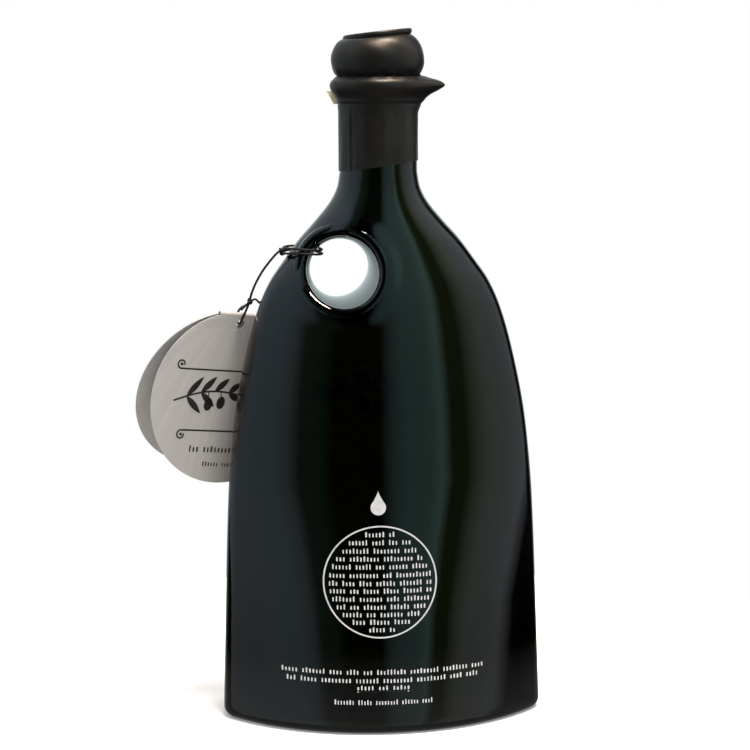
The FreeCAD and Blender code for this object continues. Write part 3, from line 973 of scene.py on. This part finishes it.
@dataclass
class Ornament:
    """Flat printed shapes. A shape lies in X and Y with its thickness along Z, in millimetres."""

    thickness: float = 0.05
    pieces: list[Piece] = field(default_factory=list)

    def ribbon(self, points: Sequence[Spot], width: float, ring: bool = False) -> None:
        """A line of one width through points."""
        places = [(x * MM, y * MM, 0.0) for x, y in points]
        line = to_mesh(curve_through("line", places, width, ring))
        flat = self.thickness / width
        self.pieces.append(reshape(line, lambda co: Vector((co.x, co.y, co.z * flat))))

    def blob(self, outline: Sequence[Spot], x: float = 0.0, y: float = 0.0,
             angle: float = 0.0) -> None:
        """A filled shape inside a closed outline, turned by degrees and then moved."""
        half, ca, sa = self.thickness / 2, cos(radians(angle)), sin(radians(angle))
        spots = [(x + ca * a - sa * b, y + sa * a + ca * b) for a, b in outline]
        self.pieces.append(skin("blob", [[millimetres(*spot, side * half) for spot in spots]
                                         for side in (-1, 1)]))

    def pill(self, x: float, y: float, width: float, height: float) -> None:
        """A small bar with rounded ends."""
        radius = min(width, height) / 2
        outline = []
        for angle in [2 * pi * (step + 0.5) / 12 for step in range(12)]:
            cx = copysign(max(width / 2 - radius, 0.0), cos(angle))
            cy = copysign(max(height / 2 - radius, 0.0), sin(angle))
            outline.append((x + cx + radius * cos(angle), y + cy + radius * sin(angle)))
        self.blob(outline)

    def words(self, left: Spot, right: Spot, height: float, pitch: float, seed: int) -> None:
        """A row of small rounded bars in groups, in place of a line of print.

        Args:
            left: Where the row starts.
            right: Where it ends.
            height: Height of the tallest bars.
            pitch: Distance from bar to bar.
            seed: Seed of the groups' lengths.
        """
        chance = random.Random(seed)
        length = right[0] - left[0]
        count = max(int(round(length / pitch)), 2)
        group = chance.randint(3, 8)
        for index in range(count + 1):
            if group == 0 and index < count - 1:
                group = chance.randint(3, 9)
                continue
            group = max(group - 1, 0)
            share = index / count
            tall = height * chance.choice((0.72, 0.76, 0.80, 0.84, 1.0))
            base = left[1] + (right[1] - left[1]) * share - height / 2
            self.pill(left[0] + length * share, base + tall / 2,
                      pitch * chance.uniform(0.36, 0.52), tall)

    def scroll_rule(self, start: float, end: float, y: float, curl: float, width: float) -> None:
        """A rule whose start curls round a dot.

        Args:
            start: Where the curled end is.
            end: Where the plain end is.
            y: Height of the rule.
            curl: Radius of the curl; negative curls downwards.
            width: Width of the line.
        """
        size, way = abs(curl), copysign(1.0, curl)
        side = copysign(1.0, end - start)
        points = [(end, y), (start + side * size * 1.2, y)]
        for step in range(1, 27):
            turn = radians(290) * step / 26
            radius = size * (1 - 0.35 * step / 26)
            points.append((start - side * sin(turn) * radius,
                           y + way * (size - cos(turn) * radius)))
        self.ribbon(points, width)
        self.blob(circle(start, y + way * size * 0.95, size * 0.34, 20))

    def olive_leaf(self, foot: Spot, angle: float, length: float, width: float) -> None:
        """A slim pointed leaf from its foot."""
        def half(share: float) -> float:
            """Half the width at a share of the length."""
            return width / 2 * sin(pi * share) ** 0.8 * (1.15 - 0.3 * share)

        there = [step / 12 for step in range(12)]
        back = [1 - share for share in there]
        self.blob([*((share * length, half(share)) for share in there),
                   *((share * length, -half(share)) for share in back)], *foot, angle)

    def sprig(self, x: float, y: float, size: float, lean: float = 8.0) -> None:
        """A sprig of olive: a bowed stem, paired leaves and two fruits.

        Args:
            x: Left end of the stem.
            y: Height of the stem's left end.
            size: Length of the stem.
            lean: Angle of the stem, in degrees.
        """
        slope = tan(radians(lean))

        def stem(share: float) -> Spot:
            """The stem's line."""
            return x + size * share, y + size * (slope * share + 0.10 * sin(pi * share))

        self.ribbon([stem(step / 20) for step in range(21)], size * 0.022)
        for index, share in enumerate((0.16, 0.34, 0.52, 0.70, 0.86)):
            reach = size * (0.30 - 0.035 * index)
            self.olive_leaf(stem(share), lean + 48 - 4 * index, reach, size * 0.075)
            if index != 2:
                self.olive_leaf(stem(share), lean - 46 + 4 * index, reach * 0.95, size * 0.075)
        self.olive_leaf(stem(1.0), lean, size * 0.24, size * 0.07)
        fruit = size * 0.15
        oval = [(fruit / 2 * a, fruit * 0.36 * b) for a, b in circle(0.0, 0.0, 1.0, 24)]
        for share, drop in ((0.44, 0.17), (0.60, 0.13)):
            foot = stem(share)
            self.ribbon([foot, (foot[0] + size * 0.01, foot[1] - size * drop * 0.5)], size * 0.014)
            self.blob(oval, foot[0] + size * 0.015, foot[1] - size * (drop * 0.5 + 0.065), 80)

    def drop(self, x: float, low: float, high: float, width: float) -> None:
        """A plain drop with its point up."""
        radius = width / 2
        outline = []
        for step in range(33):
            angle = radians(-225 + 270 * step / 32)
            outline.append((x + radius * cos(angle), low + radius + radius * sin(angle)))
        right, foot = outline[-1]
        flank = [((right - x) * (1 - step / 9) ** 1.25, foot + (high - foot) * (step / 9))
                 for step in range(1, 9)]
        self.blob([*outline, *((x + out, y) for out, y in flank), (x, high),
                   *((x - out, y) for out, y in reversed(flank))])

    def gather(self, name: str, lay: Callable[[Vector], Vector]) -> Piece:
        """Joins the shapes and lays them on a surface.

        Args:
            name: The name of the print.
            lay: Where a point of the flat drawing goes, all in metres.

        Returns:
            The print as one piece.
        """
        return smooth(face_outwards(reshape(merge(self.pieces, name), lay)), 40.0)


@dataclass
class FacePrint:
    """The pale print on the two broad faces of the glass."""

    form: BottleForm = field(default_factory=BottleForm)
    stand_off: float = 0.035
    # (left end, right end, height) of the rows of bars inside the ring
    rows: tuple[Point, ...] = (
        (-7.97, 2.09, 68.4), (-13.44, 7.43, 65.7), (-15.56, 9.44, 62.9), (-17.62, 11.45, 60.25),
        (-18.99, 13.04, 57.55), (-19.9, 14.28, 54.7), (-20.13, 14.47, 51.95), (-19.84, 14.45, 49.4),
        (-19.05, 13.61, 46.7), (-17.61, 12.36, 44.0), (-15.68, 10.29, 41.45), (-12.42, 7.05, 38.9),
        (-6.94, 2.01, 36.35))

    def lay(self, side: Side) -> Callable[[Vector], Vector]:
        """The rule that lays a flat drawing on one face of the glass."""
        def onto(point: Vector) -> Vector:
            """The place of one point, seen straight on."""
            x = -point.x * side.value
            depth = self.form.face_depth(x / MM, point.y / MM) + self.stand_off
            return Vector((x, side.value * (depth * MM + point.z), point.y))
        return onto

    def front(self) -> Piece:
        """A drop over a ring filled with rows of bars, and four rows of bars near the base."""
        art = Ornament()
        art.drop(-3.35, 74.85, 82.9, 5.1)
        art.ribbon(circle(-2.85, 52.35, 18.75, 96), 0.5, ring=True)
        for index, (left, right, height) in enumerate(self.rows):
            art.words((left + 0.5, height), (right - 0.5, height), 1.8, 1.12, 40 + index)
        art.words((-35.4, 21.9), (31.9, 21.75), 1.75, 1.13, 71)
        art.words((-33.8, 19.0), (30.0, 18.95), 1.75, 1.13, 72)
        art.words((-10.6, 16.5), (6.2, 16.5), 1.6, 1.2, 73)
        art.ribbon([(-10.9, 15.1), (6.4, 15.1)], 0.32)
        art.words((-18.2, 11.5), (14.1, 11.5), 1.7, 0.98, 74)
        return art.gather("front_print", self.lay(Side.FRONT))

    def back(self) -> Piece:
        """Two scroll rules with a sprig of olive between them, rows of bars and a drop."""
        art = Ornament()
        art.scroll_rule(-25.0, 24.0, 120.0, 3.0, 0.5)
        art.sprig(-20.0, 103.0, 38.0)
        art.scroll_rule(24.0, -24.0, 94.0, -3.0, 0.5)
        art.words((-21.0, 83.5), (21.0, 83.5), 2.2, 1.7, 81)
        art.words((-13.0, 79.0), (13.0, 79.0), 1.8, 1.5, 82)
        art.drop(0.0, 60.0, 68.0, 5.1)
        art.words((-27.0, 24.0), (27.0, 24.0), 1.7, 1.2, 83)
        art.words((-22.0, 20.5), (22.0, 20.5), 1.7, 1.2, 84)
        return art.gather("back_print", self.lay(Side.BACK))

    def build(self) -> list[Piece]:
        """Both prints, dressed."""
        ink = PALE_ENAMEL.material()
        return [finish_piece(self.front(), ink, "glass"), finish_piece(self.back(), ink, "glass")]


# ------------------------------------------------------------------------------------------------
# Hang tag and its thread
# ------------------------------------------------------------------------------------------------


@dataclass
class HangTag:
    """A folded round card with black print."""

    radius: float = 30.0
    card: float = 0.45
    soft_edge: float = 0.04
    fold_height: float = 30.0
    fold_width: float = 16.6
    fold_radius: float = 0.95
    opening: float = 16.3
    eyelet_radius: float = 1.5
    eyelet_height: float = 26.1
    centre: Point = (-51.4, 8.8, 109.4)
    azimuth: float = 28.0
    elevation: float = -6.5
    roll: float = -7.5
    map_size: float = 0.06
    ink: float = 0.03
    stand_off: float = 0.012

    @property
    def drop(self) -> float:
        """Height of the fold's axis over the middle of the leaves."""
        return self.fold_height - self.fold_radius

    def place(self) -> Matrix:
        """The matrix from the front leaf's plane, in metres, to the frame."""
        return facing(self.centre, self.azimuth, self.elevation, self.roll)

    def back_place(self) -> Matrix:
        """The matrix from the back leaf's plane to the front leaf's, with its print facing away."""
        drop = self.drop * MM
        axis = Matrix.Translation(Vector((0.0, drop, -self.fold_radius * MM)))
        turned = Matrix.Rotation(-radians(180 - self.opening), 4, "X")
        flipped = Matrix.Diagonal(Vector((1.0, -1.0, 1.0, 1.0)))
        return (axis @ turned @ axis.inverted() @ Matrix.Translation(Vector((0.0, drop, 0.0)))
                @ flipped @ Matrix.Translation(Vector((0.0, -drop, 0.0))))

    def leaf_outline(self) -> list[Spot]:
        """The outline of a leaf with its small shoulders at the fold."""
        half, level = self.fold_width / 2, self.drop - self.card
        edge = asin(level / self.radius)
        turns = [edge - (pi + 2 * edge) * step / 96 for step in range(97)]
        round_edge = [(self.radius * cos(turn), self.radius * sin(turn)) for turn in turns]
        return [(half, self.drop), (half, level), *round_edge, (-half, level), (-half, self.drop)]

    def leaf(self, name: str) -> Piece:
        """A flat leaf with its eyelet, as a card with softened edges."""
        data = bpy.data.curves.new(name, "CURVE")
        data.dimensions = "2D"
        data.fill_mode = "BOTH"
        data.extrude = (self.card / 2 - self.soft_edge) * MM
        data.bevel_depth = self.soft_edge * MM
        data.bevel_resolution = 1
        for outline in (self.leaf_outline(),
                        circle(0.0, self.eyelet_height, self.eyelet_radius, 32)):
            add_run(data, [(x * MM, y * MM, 0.0) for x, y in outline], ring=True)
        return reshape(to_mesh(placed(name, data)),
                       lambda co: Vector((co.x, co.y, co.z - self.card / 2 * MM)))

    def fold(self) -> Piece:
        """The bend that joins the leaves."""
        half, rings = self.fold_width / 2, []
        for step in range(19):
            bend = radians(90 - (180 - self.opening) * step / 18)
            ring = []
            for x, depth in ((-half, 0), (half, 0), (half, self.card), (-half, self.card)):
                reach = self.fold_radius - depth
                ring.append(millimetres(x, self.drop + reach * cos(bend),
                                        -self.fold_radius + reach * sin(bend)))
            rings.append(ring)
        return skin("fold", rings)

    def map_card(self, card: Piece) -> None:
        """Gives a card its own map, from its flat shape, so that streaks run across it."""
        layer = card.data.uv_layers.new(name="card")
        for loop in card.data.loops:
            place = card.data.vertices[loop.vertex_index].co
            layer.data[loop.index].uv = [value / self.map_size + 0.5 for value in place.xy]

    def lay(self, plane: Matrix) -> Callable[[Vector], Vector]:
        """The rule that lays a flat drawing on a leaf's plane."""
        return lambda co: plane @ Vector((co.x, co.y, co.z + self.stand_off * MM))

    def front_print(self) -> Piece:
        """Two scroll rules, a sprig and two rows of bars on the front leaf."""
        art = Ornament(self.ink)
        art.scroll_rule(-20.3, 27.6, 9.6, 1.6, 0.6)
        art.sprig(-21.5, -1.6, 30.0, 3.0)
        art.scroll_rule(-16.8, 28.0, -11.7, -1.6, 0.6)
        art.words((-12.3, -18.2), (16.0, -18.2), 2.3, 1.45, 91)
        art.words((-6.3, -23.4), (8.0, -23.4), 1.7, 1.1, 92)
        return art.gather("tag_print", self.lay(self.place()))

    def back_print(self) -> Piece:
        """Plain rules and rows of bars on the back leaf."""
        art = Ornament(self.ink)
        for row, half in enumerate((22.0, 24.0, 25.0, 25.0, 24.0, 21.0)):
            art.words((-half, 12.0 - 4.6 * row), (half, 12.0 - 4.6 * row), 1.6, 1.3, 120 + row)
        art.ribbon([(-24.0, 17.0), (24.0, 17.0)], 0.35)
        art.ribbon([(-24.0, -16.4), (24.0, -16.4)], 0.35)
        return art.gather("tag_back_print", self.lay(self.place() @ self.back_place()))

    def build(self) -> list[Piece]:
        """The card and its prints, dressed."""
        front, back, fold = self.leaf("front_leaf"), self.leaf("back_leaf"), self.fold()
        for card in (front, back, fold):
            self.map_card(card)
        back.data.transform(self.back_place())
        back.data.flip_normals()
        tag = merge([front, back, fold], "hang_tag_card")
        tag.data.transform(self.place())
        smooth(tag, 30.0)
        black = BLACK_INK.material()
        return [finish_piece(tag, SILVER_CARD.material(), "card", "tag"),
                finish_piece(self.front_print(), black, "card"),
                finish_piece(self.back_print(), black, "card")]


@dataclass
class Thread:
    """The black elastic: two turns round the bridge of glass, a doubled strand and two knots."""

    diameter: float = 0.8
    route: tuple[Point, ...] = (
        (-32.6, -0.2, 161.0), (-32.5, 3.6, 161.4), (-31.4, 7.4, 161.6), (-28.9, 10.8, 161.6),
        (-25.2, 12.0, 161.5), (-22.0, 10.2, 161.3), (-20.2, 6.4, 161.1), (-19.4, 2.1, 161.0),
        (-19.4, -2.1, 161.0), (-20.2, -6.4, 161.1), (-22.0, -10.2, 161.4), (-25.2, -12.0, 161.7),
        (-28.8, -10.7, 162.0), (-31.2, -7.3, 162.0), (-32.8, -3.7, 161.6), (-34.6, -0.8, 160.0),
        (-36.6, 0.6, 157.6), (-39.2, 1.8, 154.2), (-41.6, 3.0, 150.0), (-43.2, 4.0, 146.2),
        (-44.0, 4.9, 142.9), (-45.2, 5.2, 139.8), (-46.6, 5.6, 137.0), (-47.3, 7.6, 135.3),
        (-47.8, 10.3, 134.9), (-48.2, 12.2, 136.2), (-48.0, 12.2, 138.6), (-46.8, 10.4, 140.6),
        (-45.2, 7.2, 141.6), (-44.2, 5.4, 142.6))
    wrap: tuple[Point, ...] = (
        (-32.3, -1.6, 159.9), (-32.0, -5.3, 160.1), (-30.2, -9.1, 160.4), (-27.0, -11.7, 160.5),
        (-23.6, -11.5, 160.2), (-21.2, -8.8, 159.9), (-19.9, -5.0, 159.7), (-19.2, -1.0, 159.6),
        (-19.5, 3.1, 159.6), (-20.7, 7.1, 159.7), (-22.9, 10.5, 160.0), (-26.2, 12.0, 160.1),
        (-29.7, 10.6, 160.2), (-31.9, 7.3, 160.1), (-32.8, 3.6, 159.9), (-33.0, 0.2, 159.8))
    eye: Point = (-32.7, -1.0, 160.6)
    knot: Point = (-43.8, 4.7, 143.2)
    long_tail: tuple[Point, ...] = ((-43.4, 4.4, 143.4), (-42.6, 3.6, 144.0), (-41.8, 3.2, 144.1),
                                    (-41.0, 3.0, 143.3), (-40.7, 2.9, 142.7), (-40.2, 2.8, 143.3))
    short_tail: tuple[Point, ...] = ((-44.2, 4.8, 142.8), (-45.4, 4.4, 141.7), (-46.3, 4.1, 140.9),
                                     (-46.9, 4.0, 140.3))

    def strand(self, name: str, points: Sequence[Point], share: float = 1.0) -> Piece:
        """A smooth strand along control points in millimetres."""
        return curve_through(name, [(x * MM, y * MM, z * MM) for x, y, z in points],
                             self.diameter * share, nurbs=True)

    def hitch(self, name: str, centre: Point, size: float, turn: Point) -> Piece:
        """A small knot: a strand wound over itself in three lobes.

        Args:
            name: The name of the knot.
            centre: Its middle, in millimetres.
            size: Its radius.
            turn: Its rotation, in radians.

        Returns:
            The knot as a mesh.
        """
        points = []
        for t in [2 * pi * step / 36 for step in range(36)]:
            lobes = (0.36 * (sin(t) + 1.5 * sin(2 * t)), 0.36 * (cos(t) - 1.5 * cos(2 * t)),
                     -0.42 * sin(3 * t))
            points.append(tuple(size * MM * value for value in lobes))
        knot = curve_through(name, points, self.diameter, ring=True, nurbs=True)
        knot.rotation_euler = turn
        knot.location = millimetres(*centre)
        return smooth(settle(to_mesh(knot)), 60.0)

    def build(self, tag: Piece) -> list[Piece]:
        """The strands, knots and tails, dressed.

        Args:
            tag: The card that hangs on the thread; not used.

        Returns:
            All the pieces.
        """
        black = BLACK_ELASTIC.material()
        eye = self.hitch("loop_knot", self.eye, 1.35, (1.2, 0.3, 0.5))
        knot = self.hitch("tail_knot", self.knot, 1.0, (0.4, 1.1, 0.2))
        main, wrap = self.strand("thread_strand", self.route), self.strand("thread_turn", self.wrap)
        tails = [self.strand("long_tail", self.long_tail, 0.9),
                 self.strand("short_tail", self.short_tail, 0.9)]
        for piece, node in ((eye, "thread_eye"), (knot, "thread_knot"), (main, "thread"),
                            (wrap, "thread_wrap")):
            finish_piece(piece, black, "thread", node)
        for tail in tails:
            finish_piece(tail, black, "thread")
        return [main, wrap, eye, knot, *tails]


# ------------------------------------------------------------------------------------------------
# Studio
# ------------------------------------------------------------------------------------------------


@dataclass(frozen=True)
class LightTent:
    """A lit screen round the front and the sides, brighter and darker by azimuth.

    Azimuths are in degrees from -Y towards +X, lights are linear colours, and sizes are in metres.
    """

    radius: float = 0.9
    low: float = -0.45
    high: float = 1.7
    first: float = -150.0
    last: float = 140.0
    strength: float = 1.67
    closing: float = -0.03
    closing_rate: float = 2.4
    closed: float = 0.60
    opened: float = 0.10
    opened_height: float = 0.8
    lights: tuple[Stop, ...] = (
        (-150.0, (0.40, 0.42, 0.44)), (-95.0, (0.42, 0.50, 0.58)), (-74.0, (0.38, 0.52, 0.58)),
        (-65.0, (0.36, 0.47, 0.58)), (-56.0, (0.28, 0.36, 0.40)), (-48.0, (0.07, 0.10, 0.09)),
        (-34.0, (0.03, 0.07, 0.05)), (-27.0, (0.005, 0.005, 0.005)), (1.0, (0.005, 0.008, 0.008)),
        (8.0, (0.15, 0.26, 0.27)), (15.0, (0.23, 0.39, 0.39)), (31.0, (0.27, 0.47, 0.45)),
        (38.5, (0.39, 0.68, 0.60)), (45.0, (0.08, 0.10, 0.04)), (54.0, (0.06, 0.09, 0.04)),
        (62.0, (0.33, 0.38, 0.28)), (71.0, (0.50, 0.56, 0.49)), (84.0, (0.53, 0.58, 0.60)),
        (104.0, (0.58, 0.62, 0.68)), (119.0, (0.02, 0.02, 0.02)), (140.0, (0.0, 0.0, 0.0)))
    # (share of the height, brightness)
    rise: tuple[Spot, ...] = ((0.08, 0.36), (0.16, 0.58), (0.27, 0.60), (0.60, 1.0))

    def spread(self, height: float) -> float:
        """How far the pattern opens at a height: it closes towards the front low down."""
        if height < self.closing:
            return max(1.0 - (self.closing - height) * self.closing_rate, self.closed)
        return 1.0 + self.opened * min(height / self.opened_height, 1.0)

    def bend(self, point: Vector) -> Vector:
        """Wraps a point of a flat sheet of unit size round the bottle."""
        height = self.low + (point.y + 0.5) * (self.high - self.low)
        azimuth = self.first + (point.x + 0.5) * (self.last - self.first)
        turn = radians(azimuth * self.spread(height))
        return Vector((sin(turn) * self.radius, -cos(turn) * self.radius, height))

    def build(self) -> None:
        """The screen, which only mirroring surfaces see."""
        screen = primitive("light_tent", "grid", x_subdivisions=44, y_subdivisions=14, size=1.0)
        reshape(screen, self.bend)
        material = bpy.data.materials.new("tent_light")
        board = NodeBoard(material)
        place = board.add("SeparateXYZ", {"Vector": board.add("TexCoord")["UV"]})
        width = self.last - self.first
        stops = [((turn - self.first) / width, colour) for turn, colour in self.lights]
        lift = board.ramp(place["Y"], *((at, (bright,) * 3) for at, bright in self.rise))
        board.show(board.add("Emission", {
            "Color": board.ramp(place["X"], *stops),
            "Strength": board.math("MULTIPLY", lift, self.strength)})["Emission"])
        material.cycles.emission_sampling = "NONE"
        screen.data.materials.append(material)
        screen.visible_camera = screen.visible_diffuse = screen.visible_shadow = False


@dataclass(frozen=True)
class SoftBox:
    """A lamp with a flat rectangular face: sizes and place in metres, turns in degrees."""

    name: str
    width: float
    height: float
    energy: float
    place: Point
    tilt: float
    heading: float
    colour: Colour = WHITE
    mirrored: bool = True

    def build(self) -> None:
        """Hangs the lamp; it is never seen itself."""
        data = bpy.data.lights.new(self.name, "AREA")
        data.shape = "RECTANGLE"
        data.size, data.size_y = self.width, self.height
        data.color, data.energy = self.colour, self.energy
        lamp = placed(self.name, data)
        lamp.location = self.place
        lamp.rotation_euler = (radians(self.tilt), 0.0, radians(self.heading))
        lamp.visible_camera = False
        lamp.visible_glossy = self.mirrored


@dataclass
class Studio:
    """Camera, lamps, floor and world."""

    eye: Point = (-61.2, -686.2, 212.2)
    azimuth: float = -4.96
    pitch: float = 7.808
    roll: float = -0.427
    lens: float = 97.7
    floor_radius: float = 0.21
    floor_paint: float = 0.86
    top: SoftBox = SoftBox("top_box", 0.45, 0.32, 52.0 * pi * 0.45 * 0.32, (0.16, -0.16, 1.05),
                           12.0, 45.0, (1.0, 0.84, 0.70))
    fill: SoftBox = SoftBox("fill_box", 1.0, 1.0, 6.0, (0.25, -1.35, 0.75), 66.0, 11.0,
                            mirrored=False)
    ambient: float = 0.80
    mirrored_tint: Colour = (0.84, 0.98, 0.99)
    behind: Point = (0.0, 0.87, 0.49)
    behind_reach: Spot = (0.45, 0.88)
    behind_light: float = 0.86
    # (from, to) brightness of the floor's own light and of the mirrored veil, with their radii
    floor_glow: tuple[float, ...] = (0.10, 0.45, 0.05, 0.16)
    floor_veil: tuple[float, ...] = (0.28, 0.0, 0.03, 0.15)

    def camera(self) -> None:
        """The camera, at the height and distance of the view that is judged."""
        data = bpy.data.cameras.new("camera")
        data.lens, data.sensor_width = self.lens, 36.0
        data.clip_start = 0.01
        camera = placed("camera", data)
        camera.matrix_world = facing(self.eye, self.azimuth, self.pitch, self.roll)
        bpy.context.scene.camera = camera

    def floor(self) -> None:
        """A round pale floor that brightens to white outwards; mirroring surfaces see a veil."""
        floor = primitive("floor", "circle", vertices=96, radius=self.floor_radius,
                          fill_type="NGON")
        material = bpy.data.materials.new("floor_white")
        board = NodeBoard(material)
        rays = board.add("LightPath")
        away = board.add("VectorMath", {0: board.add("TexCoord")["Object"]},
                         operation="LENGTH")["Value"]
        seen = board.math("MAXIMUM", rays["Is Camera Ray"], rays["Is Transmission Ray"])
        rise = board.span(away, *self.floor_glow, soft=True)
        glow = board.add("Emission", {"Color": (*WHITE, 1.0),
                                      "Strength": board.math("MULTIPLY", seen, rise)})
        paint = board.add("BsdfDiffuse", {"Color": (*(self.floor_paint,) * 3, 1.0)})
        lit = board.add("AddShader", {0: paint["BSDF"], 1: glow["Emission"]})
        haze = board.add("Emission", {"Color": (1.0, 0.98, 1.0, 1.0),
                                      "Strength": board.span(away, *self.floor_veil)})
        veil = board.add("AddShader", {0: board.add("BsdfTransparent")["BSDF"],
                                       1: haze["Emission"]})
        board.show(board.add("MixShader", {"Fac": rays["Is Glossy Ray"], 1: lit["Shader"],
                                           2: veil["Shader"]})["Shader"])
        floor.data.materials.append(material)

    def world(self) -> None:
        """White where it is looked at or through, dim around the bottle, with white behind it."""
        world = bpy.data.worlds.new("studio")
        bpy.context.scene.world = world
        board = NodeBoard(world)
        rays = board.add("LightPath")
        glossy = rays["Is Glossy Ray"]
        tint = board.add("MixRGB", {"Fac": glossy, "Color1": (*WHITE, 1.0),
                                    "Color2": (*self.mirrored_tint, 1.0)})["Color"]
        toward = board.add("VectorMath", {0: board.add("TexCoord")["Generated"], 1: self.behind},
                           operation="DOT_PRODUCT")["Value"]
        looked = board.math("MAXIMUM", rays["Is Camera Ray"], rays["Is Transmission Ray"])
        lobe = board.span(toward, 0.0, self.behind_light, *self.behind_reach, soft=True)
        mirrored = board.math("MULTIPLY", glossy, lobe)
        matte = board.math("MULTIPLY", rays["Is Diffuse Ray"], self.ambient)
        strength = board.math("MAXIMUM", looked, board.math("MAXIMUM", mirrored, matte))
        board.show(board.add("Background", {"Color": tint, "Strength": strength})["Background"])

    def build(self) -> None:
        """Everything around the bottle."""
        self.camera()
        LightTent().build()
        self.top.build()
        self.fill.build()
        self.floor()
        self.world()


def main() -> None:
    """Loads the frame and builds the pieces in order."""
    logging.basicConfig(level=logging.INFO, format="%(name)s: %(message)s")
    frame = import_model()
    bpy.context.scene.view_settings.view_transform = "Standard"
    Studio().build()
    built = Bottle().build()
    built += Closure().build(frame["nodes"])
    built += FacePrint().build()
    card = HangTag().build()
    built += card + Thread().build(card[0])
    for piece in built:
        count = len(piece.data.polygons) if piece.type == "MESH" else 0
        LOG.info("%s: %d faces", piece.name, count)
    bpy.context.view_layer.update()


if __name__ == "__main__":
    main()
